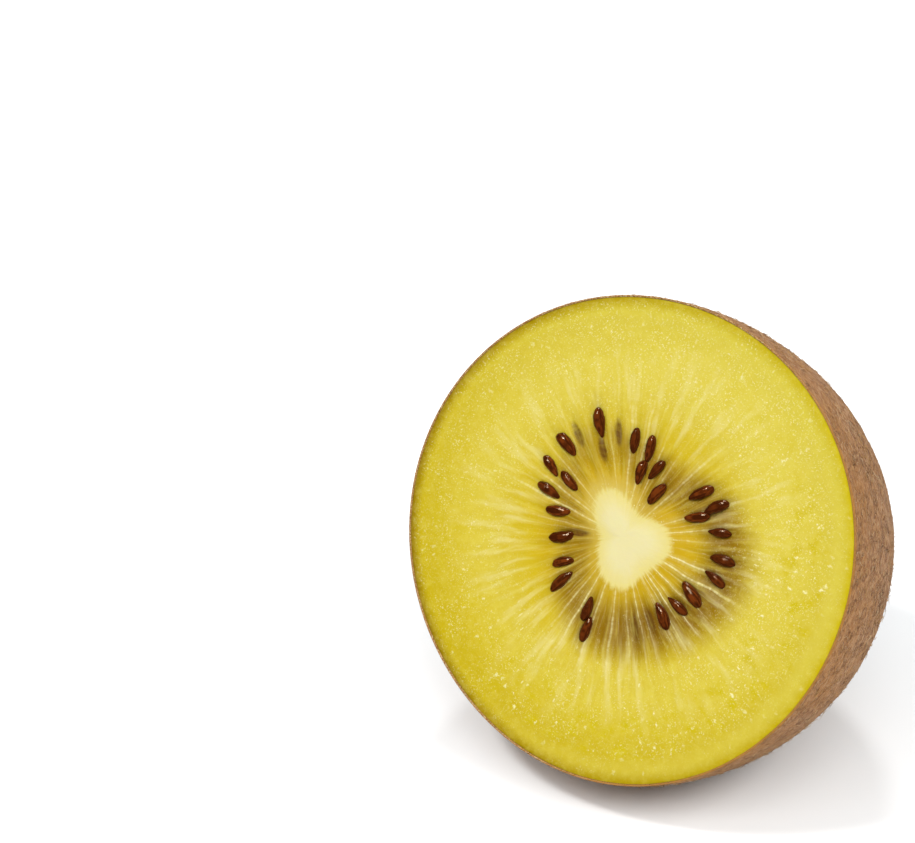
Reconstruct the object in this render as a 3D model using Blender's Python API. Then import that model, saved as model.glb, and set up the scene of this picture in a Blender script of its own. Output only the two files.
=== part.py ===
"""Half of a golden kiwi fruit, cut straight across its middle.

The half leans back on its round side, on a small flat spot, with its cut face
towards -Y and upwards. Units are metres and +Z is up. The origin is the middle of
the flat spot.

Run with: blender --background --python part.py
"""

import math
import random

import bmesh
import bpy
from mathutils import Matrix, Vector

MM = 0.001

# The fruit's own frame: the cut face is the plane z = 0 and looks along +Z, and the
# stem end lies on -Z. Angles run anticlockwise from +X, as seen on the cut face.
FRUIT_RADIUS = 27.5 * MM
HALF_LENGTH = 36.2 * MM
OVAL_SHARE, OVAL_ANGLE = 0.020, math.radians(-17)
THREE_SIDED_SHARE, THREE_SIDED_ANGLE = 0.006, math.radians(47)
SHOULDER_POWER, END_POWER = 2.3, 2.1

# How the half stands: the cut face looks this far above the horizon, and the flat
# spot takes this much off the round side.
FACE_ELEVATION = math.radians(27)
SPOT_DEPTH = 0.8 * MM

SKIN_THICKNESS = 0.8 * MM
FIT_GAP = 0.3 * MM

# The stem end: a dimple in the skin, which holds the woody scar of the stalk.
DIMPLE_RADIUS, DIMPLE_DEPTH = 9.0 * MM, 2.3 * MM
SCAR_RADIUS = 5.4 * MM
SCAR_RIM_RADIUS, SCAR_RIM_HEIGHT, SCAR_RIM_WIDTH = 4.4 * MM, 1.1 * MM, 0.75 * MM
SCAR_DISC_HEIGHT = 0.7 * MM
SCAR_SHARE_X, SCAR_WOBBLE = 0.88, 0.05

# The pale core: a rounded triangle at the cut, narrowing towards the stem end.
CORE_RADIUS = 4.6 * MM
CORE_LOBES = (
    (1, 0.13, math.radians(-18)),
    (2, 0.17, math.radians(-46)),
    (3, 0.17, math.radians(16)),
)
CORE_LENGTH, CORE_TIP_SHARE = 25.0 * MM, 0.35

# Seeds lie in chambers that stand round the core like spokes, on a ring that bulges
# where the core does. One letter tells what the cut shows of each chamber, from its
# first angle round: f a seed, i one that lies further in, p both, s a deeper seed
# under the surface, q a seed with a deeper one behind it, and a full stop nothing.
# The deeper ones have no relief.
CHAMBERS = "ffpf.ifpfsqsfpffq.ff..p..ssffff"
FIRST_CHAMBER = math.radians(5)
SEED_RING = 10.5 * MM
SEED_RING_LOBES = (
    (1, 0.06, math.radians(46)),
    (2, 0.09, math.radians(-44)),
    (3, 0.14, math.radians(14)),
)
SEED_LENGTH, SEED_WIDTH, SEED_HEIGHT = 2.8 * MM, 1.3 * MM, 1.1 * MM
SEED_SUNK = 0.1 * MM
SEED_TAPER = 0.35
INNER_STEP = 2.4 * MM
ANGLE_SPREAD, RADIUS_SPREAD = math.radians(4), 0.8 * MM
TURN_SPREAD, SIZE_SPREAD = math.radians(16), 0.12
RANDOM_SEED = 577

SEGMENTS = 48
ROWS = 16
CORE_ROWS = 5
SCAR_SEGMENTS = 30
SEED_SEGMENTS, SEED_RINGS = 8, 5
FLOOR_BOX = 80 * MM


def clear_scene():
    """Remove every object that is in the scene."""
    for old in list(bpy.data.objects):
        bpy.data.objects.remove(old, do_unlink=True)


def smooth_step(share):
    """An S-shaped ramp from 0 to 1."""
    share = min(1.0, max(0.0, share))
    return share * share * (3 - 2 * share)


# ---------------------------------------------------------------- the fruit's form


def outline(angle):
    """The fruit's girth at an angle, as a share of its mean radius."""
    oval = OVAL_SHARE * math.cos(2 * (angle - OVAL_ANGLE))
    three_sided = THREE_SIDED_SHARE * math.cos(3 * (angle - THREE_SIDED_ANGLE))
    return 1 + oval + three_sided


def girth(along):
    """The share of the radius that is left at a share of the way to the stem end."""
    return (1 - along**SHOULDER_POWER) ** (1 / END_POWER)


def fruit_point(angle, along, inset):
    """A point of the fruit's surface, or of one that lies `inset` inside it."""
    radius = (FRUIT_RADIUS * outline(angle) - inset) * girth(along)
    dimple = DIMPLE_DEPTH * (1 - smooth_step(radius / DIMPLE_RADIUS))
    depth = (HALF_LENGTH - inset) * along - dimple
    return Vector((radius * math.cos(angle), radius * math.sin(angle), -depth))


def lobed(radius, lobes, angle):
    """A radius that swells and shrinks round the axis, by (count, share, angle)."""
    return radius * (1 + sum(s * math.cos(n * (angle - at)) for n, s, at in lobes))


def core_point(angle, along, outset):
    """A point of the core's side, or of the hole that stands `outset` outside it."""
    narrowing = 1 - (1 - CORE_TIP_SHARE) * along**2
    radius = lobed(CORE_RADIUS, CORE_LOBES, angle) * narrowing + outset
    depth = (CORE_LENGTH + outset) * along
    return Vector((radius * math.cos(angle), radius * math.sin(angle), -depth))


def station(row, rows):
    """Shares of the way to the stem end, closer together near it."""
    return math.sin(math.pi / 2 * row / rows)


def angles(count):
    """Evenly spaced angles round the fruit's axis."""
    return [2 * math.pi * k / count for k in range(count)]


# ------------------------------------------------------------------ the rest pose


def rest_pose():
    """Place the fruit's frame so that the flat spot is at the origin, facing down."""
    lean = Matrix.Rotation(math.pi / 2 - FACE_ELEVATION, 4, "X")
    surface = [
        lean @ fruit_point(angle, station(row, 90), 0)
        for angle in angles(180)
        for row in range(90)
    ]
    floor = min(point.z for point in surface) + SPOT_DEPTH
    spot = [point for point in surface if point.z < floor]
    middle_x = (min(p.x for p in spot) + max(p.x for p in spot)) / 2
    middle_y = (min(p.y for p in spot) + max(p.y for p in spot)) / 2
    return Matrix.Translation((-middle_x, -middle_y, -floor)) @ lean


def lifted(point, pose, clearance):
    """The point, raised to `clearance` above the floor where it would be lower."""
    world = pose @ point
    world.z = max(world.z, clearance)
    return pose.inverted() @ world


# -------------------------------------------------------------------- mesh making


def closed_mesh(name, rows, first, last):
    """A closed mesh from rings of points, with one point beyond each end ring."""
    made = bmesh.new()
    rings = [[made.verts.new(point) for point in row] for row in rows]
    tips = (made.verts.new(first), made.verts.new(last))
    count = len(rings[0])
    for k in range(count):
        after = (k + 1) % count
        made.faces.new((tips[0], rings[0][after], rings[0][k]))
        made.faces.new((tips[1], rings[-1][k], rings[-1][after]))
        for upper, lower in zip(rings, rings[1:]):
            made.faces.new((upper[k], upper[after], lower[after], lower[k]))
    bmesh.ops.recalc_face_normals(made, faces=made.faces)
    mesh = bpy.data.meshes.new(name)
    made.to_mesh(mesh)
    made.free()
    mesh.shade_smooth()
    mesh.set_sharp_from_angle(angle=math.radians(40))
    return mesh


def material(name, colour, roughness):
    """A plain Principled finish."""
    made = bpy.data.materials.new(name)
    made.use_nodes = True
    shader = made.node_tree.nodes["Principled BSDF"]
    shader.inputs["Base Color"].default_value = (*colour, 1)
    shader.inputs["Roughness"].default_value = roughness
    return made


def as_helper(shape):
    """Mark an object that only cuts or joins another."""
    shape.hide_render = True
    shape.display_type = "WIRE"


def part(name, mesh, finish, holder):
    """One named object on the fruit's frame."""
    mesh.materials.append(finish)
    made = bpy.data.objects.new(name, mesh)
    bpy.context.scene.collection.objects.link(made)
    made.parent = holder
    return made


def outer_rows():
    """Rings of the fruit's surface, from beside the stem end to the cut face."""
    return [
        [fruit_point(angle, station(row, ROWS), 0) for angle in angles(SEGMENTS)]
        for row in reversed(range(ROWS))
    ]


def inner_rows(pose, inset):
    """The same rings `inset` further in, and that far above the flat spot."""
    return [
        [
            lifted(fruit_point(angle, station(row, ROWS), inset), pose, inset)
            for angle in angles(SEGMENTS)
        ]
        for row in reversed(range(ROWS))
    ]


# ---------------------------------------------------------------------- the parts


def make_skin(pose, holder, finish):
    """The thin brown peel: a cup with an open mouth at the cut face."""
    inside = inner_rows(pose, SKIN_THICKNESS)
    tips = [fruit_point(0, 1, inset) for inset in (0, SKIN_THICKNESS)]
    mesh = closed_mesh("skin", outer_rows() + inside[::-1], *tips)
    skin = part("skin", mesh, finish, holder)
    flatten_underside(skin)
    return skin


def flatten_underside(skin):
    """Cut the flat spot that the half rests on."""
    box = bmesh.new()
    bmesh.ops.create_cube(box, size=FLOOR_BOX)
    mesh = bpy.data.meshes.new("floor_cutter")
    box.to_mesh(mesh)
    box.free()
    cutter = bpy.data.objects.new("floor_cutter", mesh)
    cutter.location.z = -FLOOR_BOX / 2
    as_helper(cutter)
    bpy.context.scene.collection.objects.link(cutter)
    cut = skin.modifiers.new("flat_spot", "BOOLEAN")
    cut.operation = "DIFFERENCE"
    cut.solver = "EXACT"
    cut.object = cutter


def make_flesh(pose, holder, finish, seed_finish):
    """The golden flesh, which fills the skin round the core, with its seeds."""
    inset = SKIN_THICKNESS + FIT_GAP
    hole = [
        [core_point(angle, row / CORE_ROWS, FIT_GAP) for angle in angles(SEGMENTS)]
        for row in range(CORE_ROWS + 1)
    ]
    hole_bottom = Vector((0, 0, -CORE_LENGTH - FIT_GAP))
    tips = (fruit_point(0, 1, inset), hole_bottom)
    mesh = closed_mesh("flesh", inner_rows(pose, inset) + hole, *tips)
    flesh = part("flesh", mesh, finish, holder)
    join_seeds(flesh, holder, seed_finish)
    return flesh


def seed_mesh():
    """One seed, its narrow end towards -X."""
    made = bmesh.new()
    bmesh.ops.create_uvsphere(
        made, u_segments=SEED_SEGMENTS, v_segments=SEED_RINGS, radius=0.5
    )
    for vertex in made.verts:
        lengthwise = 2 * vertex.co.z
        width = 1 - SEED_TAPER * smooth_step((0.2 - lengthwise) / 1.4)
        vertex.co = Vector(
            (
                vertex.co.z * SEED_LENGTH,
                vertex.co.x * SEED_WIDTH * width,
                vertex.co.y * SEED_HEIGHT * width,
            )
        )
    bmesh.ops.recalc_face_normals(made, faces=made.faces)
    mesh = bpy.data.meshes.new("seed")
    made.to_mesh(mesh)
    made.free()
    mesh.shade_smooth()
    return mesh


def seed_places():
    """(angle, radius, turn, size) of each seed that stands out of the cut face."""
    draw = random.Random(RANDOM_SEED)
    places = []
    for k, shown in enumerate(CHAMBERS):
        for inward, letters in ((0, "fpq"), (INNER_STEP, "pi")):
            angle = FIRST_CHAMBER + 2 * math.pi * k / len(CHAMBERS)
            angle += draw.uniform(-1, 1) * ANGLE_SPREAD
            radius = lobed(SEED_RING, SEED_RING_LOBES, angle) - inward
            radius += draw.uniform(-1, 1) * RADIUS_SPREAD
            turn = angle + draw.uniform(-1, 1) * TURN_SPREAD
            size = 1 + draw.uniform(-1, 1) * SIZE_SPREAD
            if shown in letters:
                places.append((angle, radius, turn, size))
    return places


def join_seeds(flesh, holder, finish):
    """Sink the seeds into the cut face and fuse them with the flesh."""
    seeds = bpy.data.collections.new("seeds")
    bpy.context.scene.collection.children.link(seeds)
    mesh = seed_mesh()
    mesh.materials.append(finish)
    for angle, radius, turn, size in seed_places():
        seed = bpy.data.objects.new("seed", mesh)
        across, up = radius * math.cos(angle), radius * math.sin(angle)
        seed.location = (across, up, -SEED_SUNK)
        seed.rotation_euler.z = turn
        seed.scale = (size, size, size)
        seed.parent = holder
        as_helper(seed)
        seeds.objects.link(seed)
    union = flesh.modifiers.new("seeds", "BOOLEAN")
    union.operation = "UNION"
    union.solver = "EXACT"
    union.operand_type = "COLLECTION"
    union.collection = seeds
    union.material_mode = "TRANSFER"


def make_core(holder, finish):
    """The pale core, flush with the cut face."""
    rows = [
        [core_point(angle, row / CORE_ROWS, 0) for angle in angles(SEGMENTS)]
        for row in range(CORE_ROWS + 1)
    ]
    mesh = closed_mesh("core", rows, Vector((0, 0, 0)), Vector((0, 0, -CORE_LENGTH)))
    return part("core", mesh, finish, holder)


def scar_top(share):
    """The scar's height above the dimple, at a share of its radius."""
    radius = share * SCAR_RADIUS
    rim = math.exp(-(((radius - SCAR_RIM_RADIUS) / SCAR_RIM_WIDTH) ** 2))
    disc = SCAR_DISC_HEIGHT * (1 - smooth_step(share))
    return disc + (SCAR_RIM_HEIGHT - disc) * rim


def scar_ring(share, height):
    """One ring of the scar, `height` above the dimple's surface."""
    end = HALF_LENGTH - DIMPLE_DEPTH
    ring = []
    for angle in angles(SCAR_SEGMENTS):
        wobble = 1 + SCAR_WOBBLE * math.cos(3 * angle) * share
        radius = share * SCAR_RADIUS * wobble
        raised = end + height + dimple_rise(radius)
        x = radius * math.cos(angle) * SCAR_SHARE_X
        ring.append(Vector((x, radius * math.sin(angle), -raised)))
    return ring


def dimple_rise(radius):
    """How far the dimple's surface stands out beyond its middle, at a radius."""
    share = min(1.0, radius / FRUIT_RADIUS)
    along = (1 - share**END_POWER) ** (1 / SHOULDER_POWER)
    return DIMPLE_DEPTH * smooth_step(radius / DIMPLE_RADIUS) - HALF_LENGTH * (1 - along)


def make_stem_scar(holder, finish):
    """The woody scar that the stalk left: a raised rim round a sunken disc."""
    shares = (0.25, 0.45, 0.62, 0.72, 0.8, 0.9, 1.0)
    top = [scar_ring(share, FIT_GAP + scar_top(share)) for share in shares]
    under = [scar_ring(share, FIT_GAP) for share in (0.97, 0.6)]
    end = HALF_LENGTH - DIMPLE_DEPTH + FIT_GAP
    first, last = Vector((0, 0, -end - scar_top(0))), Vector((0, 0, -end))
    mesh = closed_mesh("stem_scar", top + under, first, last)
    return part("stem_scar", mesh, finish, holder)


def main():
    """Build the half fruit in its rest pose."""
    clear_scene()
    pose = rest_pose()
    holder = bpy.data.objects.new("fruit_frame", None)
    bpy.context.scene.collection.objects.link(holder)
    holder.matrix_world = pose
    skin_finish = material("skin", (0.27, 0.145, 0.062), 0.8)
    flesh_finish = material("flesh", (0.80, 0.66, 0.05), 0.35)
    seed_finish = material("seed", (0.045, 0.012, 0.006), 0.2)
    core_finish = material("core", (0.90, 0.86, 0.48), 0.45)
    scar_finish = material("stem_scar", (0.33, 0.21, 0.11), 0.85)
    make_skin(pose, holder, skin_finish)
    make_flesh(pose, holder, flesh_finish, seed_finish)
    make_core(holder, core_finish)
    make_stem_scar(holder, scar_finish)


main()
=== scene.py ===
"""The looks of a halved golden kiwi fruit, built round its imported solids.

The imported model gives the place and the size: the rim of its skin gives the fruit's
own frame, in which every piece here is modelled. In that frame the cut face is the
plane z = 0 and looks along +Z, the stem end lies on -Z, and angles run anticlockwise
from +X as seen on the cut face. Lengths in the code are metres; shaders work in
millimetres of the same frame.
"""

import logging
import math
import random
from dataclasses import dataclass, replace
from enum import Enum
from typing import Any, Sequence

import bpy
import numpy as np
from mathutils import Matrix, Vector, noise


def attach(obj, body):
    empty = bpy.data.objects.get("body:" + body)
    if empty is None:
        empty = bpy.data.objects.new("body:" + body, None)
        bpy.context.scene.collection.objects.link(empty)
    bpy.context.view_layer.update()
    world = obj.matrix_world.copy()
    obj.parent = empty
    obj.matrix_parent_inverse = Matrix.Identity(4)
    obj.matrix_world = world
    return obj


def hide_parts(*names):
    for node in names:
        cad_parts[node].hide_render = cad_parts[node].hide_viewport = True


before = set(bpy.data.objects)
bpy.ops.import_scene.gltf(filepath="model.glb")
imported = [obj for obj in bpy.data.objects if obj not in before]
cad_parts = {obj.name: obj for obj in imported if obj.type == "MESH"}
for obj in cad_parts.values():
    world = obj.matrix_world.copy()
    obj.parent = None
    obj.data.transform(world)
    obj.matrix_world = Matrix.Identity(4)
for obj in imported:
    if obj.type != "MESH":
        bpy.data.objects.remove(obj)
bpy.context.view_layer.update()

LOG = logging.getLogger("kiwi")
MM = 0.001
LIGHT = 1.66
FACE_ELEVATION = math.radians(27)

Colour = tuple[float, float, float]
Lobes = tuple[tuple[int, float, float], ...]
Values = float | np.ndarray


# ------------------------------------------------------------------------- helpers


def seen(red: int, green: int, blue: int) -> Colour:
    """The base colour of a surface that is to look like a display colour.

    Args:
        red: Red channel, 0 to 255.
        green: Green channel.
        blue: Blue channel.

    Returns:
        The linear colour, darker by as much as the studio's light adds.
    """

    def linear(channel: float) -> float:
        """One channel, from display value to linear light."""
        power = ((channel + 0.055) / 1.055) ** 2.4
        return power if channel > 0.04045 else channel / 12.92

    return tuple(linear(channel / 255) / LIGHT for channel in (red, green, blue))


def ramp_up(value: Values, low: float, high: float) -> Values:
    """An S-shaped ramp from 0 at `low` to 1 at `high`.

    Args:
        value: Values to map.
        low: Where the ramp leaves 0.
        high: Where the ramp reaches 1.

    Returns:
        The ramp's value at each input.
    """
    share = np.clip((value - low) / (high - low), 0, 1)
    return share * share * (3 - 2 * share)


def grain(points: np.ndarray, scale: float, octaves: int = 3) -> np.ndarray:
    """Smooth noise of about -1 to 1 at each point.

    Args:
        points: Points in metres, one a row.
        scale: Size of the largest bumps in metres.
        octaves: How many finer layers are added.

    Returns:
        One value a point.
    """
    steps = (points / scale).tolist()
    return np.array([noise.fractal(Vector(step), 1.0, 2.0, octaves) for step in steps])


def full_turn(count: int) -> np.ndarray:
    """Evenly spaced angles, once round."""
    return np.linspace(0, 2 * math.pi, count, endpoint=False)


def stations(count: int) -> np.ndarray:
    """Shares of the way to the stem end, closer together near it."""
    return np.sin(np.pi / 2 * np.arange(count) / count)


def unit(vectors: np.ndarray) -> np.ndarray:
    """The vectors, each one long."""
    return vectors / np.maximum(np.linalg.norm(vectors, axis=-1, keepdims=True), 1e-30)


# --------------------------------------------------------------------- shader maths


class Signal:
    """A shader value or vector that can be used in arithmetic."""

    def __init__(self, tree: "Recipe", socket: bpy.types.NodeSocket) -> None:
        """Wrap a socket of a recipe's node tree."""
        self.tree = tree
        self.socket = socket

    def math(self, operation: str, *others: Any, clamp: bool = False) -> "Signal":
        """Add one Math node that takes this value first.

        Args:
            operation: The Math node's operation.
            others: Further values or signals.
            clamp: Whether the result is held within 0 and 1.

        Returns:
            The result.
        """
        settings = {"operation": operation, "use_clamp": clamp}
        inputs = dict(enumerate((self, *others)))
        return self.tree.node("ShaderNodeMath", settings, inputs)["Value"]

    def swapped(self, operation: str, other: float) -> "Signal":
        """The same node with this value second."""
        inputs = {0: other, 1: self}
        return self.tree.node("ShaderNodeMath", {"operation": operation}, inputs)["Value"]

    def __add__(self, other: Any) -> "Signal":
        """Sum."""
        return self.math("ADD", other)

    def __radd__(self, other: float) -> "Signal":
        """Reflected sum."""
        return self.math("ADD", other)

    def __sub__(self, other: Any) -> "Signal":
        """Difference."""
        return self.math("SUBTRACT", other)

    def __rsub__(self, other: float) -> "Signal":
        """Reflected difference."""
        return self.swapped("SUBTRACT", other)

    def __mul__(self, other: Any) -> "Signal":
        """Product."""
        return self.math("MULTIPLY", other)

    def __rmul__(self, other: float) -> "Signal":
        """Reflected product."""
        return self.math("MULTIPLY", other)

    def __truediv__(self, other: Any) -> "Signal":
        """Quotient."""
        return self.math("DIVIDE", other)

    def __rtruediv__(self, other: float) -> "Signal":
        """Reflected quotient."""
        return self.swapped("DIVIDE", other)

    def __abs__(self) -> "Signal":
        """Size without sign."""
        return self.math("ABSOLUTE")

    def clamped(self) -> "Signal":
        """The value held within 0 and 1."""
        return self.math("ADD", 0.0, clamp=True)

    def rise(self, low: Any, high: Any) -> "Signal":
        """A smooth ramp from 0 at `low` to 1 at `high`.

        Args:
            low: Where the ramp leaves 0.
            high: Where the ramp reaches 1.

        Returns:
            The ramp's value.
        """
        settings = {"interpolation_type": "SMOOTHSTEP"}
        inputs = {"Value": self, "From Min": low, "From Max": high}
        return self.tree.node("ShaderNodeMapRange", settings, inputs)["Result"]

    def fall(self, low: Any, high: Any) -> "Signal":
        """A smooth ramp from 1 at `low` to 0 at `high`."""
        return 1 - self.rise(low, high)


class Recipe:
    """One material's node tree, written as expressions."""

    def __init__(self, name: str, pose: Matrix) -> None:
        """Start a material with a Principled shader.

        Args:
            name: The material's name.
            pose: From the fruit's frame to the row's.
        """
        self.pose = pose
        self.material = bpy.data.materials.new(name)
        self.material.use_nodes = True
        self.nodes = self.material.node_tree.nodes
        self.links = self.material.node_tree.links
        self.shader = self.nodes["Principled BSDF"]

    def node(self, kind: str, settings: dict, inputs: dict) -> dict[str, Signal]:
        """Add a node.

        Args:
            kind: The node's type name.
            settings: Its properties, set first; `stops` holds a colour ramp's stops.
            inputs: Values or signals by socket name or number.

        Returns:
            Its outputs by name.
        """
        made = self.nodes.new(kind)
        for key, value in settings.items():
            if key == "stops":
                self.set_stops(made.color_ramp, value)
            else:
                setattr(made, key, value)
        for key, value in inputs.items():
            self.feed(made.inputs[key], value)
        return {out.name: Signal(self, out) for out in made.outputs if out.enabled}

    def feed(self, socket: bpy.types.NodeSocket, value: Any) -> None:
        """Link a signal to a socket, or set its value.

        Args:
            socket: The input socket.
            value: A signal, a number, a vector or a colour.
        """
        if isinstance(value, Signal):
            self.links.new(value.socket, socket)
        elif isinstance(value, tuple) and len(value) == 3 and socket.type == "RGBA":
            socket.default_value = (*value, 1)
        else:
            socket.default_value = value

    @staticmethod
    def set_stops(band: bpy.types.ColorRamp, stops: Sequence) -> None:
        """Fill a colour ramp.

        Args:
            band: The ramp.
            stops: A (place, colour) pair for each stop.
        """
        for place, colour in stops[1:-1]:
            band.elements.new(place).color = (*colour, 1)
        ends = (band.elements[0], stops[0]), (band.elements[-1], stops[-1])
        for element, (place, colour) in ends:
            element.position = place
            element.color = (*colour, 1)

    def place(self) -> Signal:
        """Find the shaded point's place.

        Returns:
            Its vector in the fruit's frame, in millimetres.
        """
        inputs = {
            "Vector": self.node("ShaderNodeTexCoord", {}, {})["Object"],
            "Location": self.pose.translation,
            "Rotation": self.pose.to_euler(),
            "Scale": (MM, MM, MM),
        }
        return self.node("ShaderNodeMapping", {"vector_type": "TEXTURE"}, inputs)["Vector"]

    def vector(self, operation: str, *values: Any, **named: Any) -> Signal:
        """Add one Vector Math node.

        Args:
            operation: The node's operation.
            values: Vectors or signals in order.
            named: Further sockets by name.

        Returns:
            Its vector result.
        """
        inputs = {**dict(enumerate(values)), **named}
        settings = {"operation": operation}
        return self.node("ShaderNodeVectorMath", settings, inputs)["Vector"]

    def split(self, vector: Signal) -> tuple[Signal, Signal, Signal]:
        """The three parts of a vector."""
        parts = self.node("ShaderNodeSeparateXYZ", {}, {0: vector})
        return parts["X"], parts["Y"], parts["Z"]

    def join(self, x: Any, y: Any, z: Any) -> Signal:
        """A vector of three parts."""
        return self.node("ShaderNodeCombineXYZ", {}, {0: x, 1: y, 2: z})["Vector"]

    def noise(self, at: Signal, scale: float, detail: float = 3.0, **more: Any) -> Signal:
        """Smooth noise around 0.5.

        Args:
            at: Where to read it.
            scale: Bumps a millimetre.
            detail: How many finer layers there are.
            more: Further sockets by name.

        Returns:
            The noise.
        """
        inputs = {"Vector": at, "Scale": scale, "Detail": detail, **more}
        return self.node("ShaderNodeTexNoise", {}, inputs)["Fac"]

    def noise_colour(self, at: Signal, scale: float) -> Signal:
        """A random vector that changes smoothly.

        Args:
            at: Where to read it.
            scale: Changes a millimetre.

        Returns:
            The vector, its parts around 0.
        """
        inputs = {"Vector": at, "Scale": scale, "Detail": 1.0}
        drawn = self.node("ShaderNodeTexNoise", {}, inputs)["Color"]
        return self.vector("SUBTRACT", drawn, (0.5, 0.5, 0.5))

    def cells(self, at: Signal, scale: float) -> tuple[Signal, Signal]:
        """Scattered cells.

        Args:
            at: Where to read them.
            scale: Cells a millimetre.

        Returns:
            The distance to a cell's middle, and the cell's own random share.
        """
        inputs = {"Vector": at, "Scale": scale}
        made = self.node("ShaderNodeTexVoronoi", {}, inputs)
        number = self.node("ShaderNodeSeparateXYZ", {}, {0: made["Color"]})["X"]
        return made["Distance"], number

    def lot(self, number: Signal, salt: float) -> Signal:
        """A fixed random share for a whole number.

        Args:
            number: The whole number.
            salt: What sets one lot apart from another.

        Returns:
            A share of 0 to 1.
        """
        settings = {"noise_dimensions": "2D"}
        at = self.join(number, salt, 0.0)
        return self.node("ShaderNodeTexWhiteNoise", settings, {"Vector": at})["Value"]

    def mix(self, share: Any, first: Any, second: Any) -> Signal:
        """Blend two colours.

        Args:
            share: How much of the second shows, which the node holds within 0 and 1.
            first: A colour or signal.
            second: A colour or signal.

        Returns:
            The blended colour.
        """
        sockets = {0: share, 6: first, 7: second}
        return self.node("ShaderNodeMix", {"data_type": "RGBA"}, sockets)["Result"]

    def ramp(self, value: Signal, stops: Sequence) -> Signal:
        """A colour read from stops of (place, colour)."""
        return self.node("ShaderNodeValToRGB", {"stops": stops}, {0: value})["Color"]

    def attribute(self, name: str) -> Signal:
        """A number that the mesh stores at each point."""
        settings = {"attribute_type": "GEOMETRY", "attribute_name": name}
        return self.node("ShaderNodeAttribute", settings, {})["Fac"]

    def bump(self, height: Signal, depth: float, strength: float = 1.0) -> Signal:
        """A normal from a height of 0 to 1 that stands for `depth` metres."""
        inputs = {"Height": height, "Distance": depth, "Strength": strength}
        return self.node("ShaderNodeBump", {}, inputs)["Normal"]

    def finish(self, **sockets: Any) -> bpy.types.Material:
        """Set the Principled shader's sockets.

        Args:
            sockets: Values or signals by socket name, with _ for each space.

        Returns:
            The material.
        """
        for name, value in sockets.items():
            self.feed(self.shader.inputs[name.replace("_", " ")], value)
        return self.material


# ---------------------------------------------------------------- the fruit's form


@dataclass(frozen=True)
class FruitForm:
    """The fruit's shape, in its own frame, and that frame's place in the row."""

    pose: Matrix
    radius: float = 27.5 * MM
    half_length: float = 36.2 * MM
    outline_lobes: Lobes = (
        (2, 0.020, math.radians(-17)),
        (3, 0.006, math.radians(47)),
    )
    shoulder_power: float = 2.3
    end_power: float = 2.1
    dimple_radius: float = 9.0 * MM
    dimple_depth: float = 2.3 * MM
    core_radius: float = 4.45 * MM
    core_lobes: Lobes = (
        (1, 0.157, math.radians(-18.5)),
        (2, 0.174, math.radians(-46)),
        (3, 0.198, math.radians(15.6)),
        (4, 0.044, math.radians(24.6)),
        (5, 0.034, math.radians(2.4)),
    )
    ring_radius: float = 10.5 * MM
    ring_lobes: Lobes = (
        (1, 0.06, math.radians(46)),
        (2, 0.09, math.radians(-44)),
        (3, 0.14, math.radians(14)),
    )
    dark_radius: float = 0.80 * MM
    dark_lobes: Lobes = (
        (1, 1.72, math.radians(170)),
        (2, 0.46, math.radians(59)),
        (3, 0.20, math.radians(39)),
    )

    @staticmethod
    def lobed(radius: float, lobes: Lobes, angle: Values) -> Values:
        """A radius that swells and shrinks round the axis.

        Args:
            radius: The mean radius.
            lobes: (count, share, angle) of each lobe pattern.
            angle: Angle or angles round the axis.

        Returns:
            The radius at each angle.
        """
        return radius * (1 + sum(s * np.cos(n * (angle - at)) for n, s, at in lobes))

    def girth(self, along: Values) -> Values:
        """The share of the radius left at a share of the way to the stem end."""
        return (1 - along**self.shoulder_power) ** (1 / self.end_power)

    def surface(self, angle: Values, along: Values, inset: float = 0.0) -> np.ndarray:
        """Points of the fruit's surface, or of one that lies `inset` inside it.

        Args:
            angle: Angles round the axis.
            along: Shares of the way to the stem end.
            inset: Depth under the surface.

        Returns:
            The points, with the coordinates on the last axis.
        """
        rim = self.lobed(self.radius, self.outline_lobes, angle)
        radius = (rim - inset) * self.girth(along)
        dimple = self.dimple_depth * (1 - ramp_up(radius, 0, self.dimple_radius))
        depth = (self.half_length - inset) * along - dimple
        return np.stack((radius * np.cos(angle), radius * np.sin(angle), -depth), -1)

    def normal(self, angle: np.ndarray, along: np.ndarray) -> np.ndarray:
        """Outward unit normals of the surface.

        Args:
            angle: Angles round the axis.
            along: Shares of the way to the stem end.

        Returns:
            The normals, with the coordinates on the last axis.
        """
        step = 1e-4
        lower, upper = np.minimum(along + step, 1), np.maximum(along - step, 0)
        round_it = self.surface(angle + step, along) - self.surface(angle - step, along)
        down = self.surface(angle, lower) - self.surface(angle, upper)
        return unit(np.cross(down, round_it))


@dataclass(frozen=True)
class Seed:
    """One seed's place at the cut face."""

    angle: float
    radius: float
    turn: float
    size: float


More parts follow.
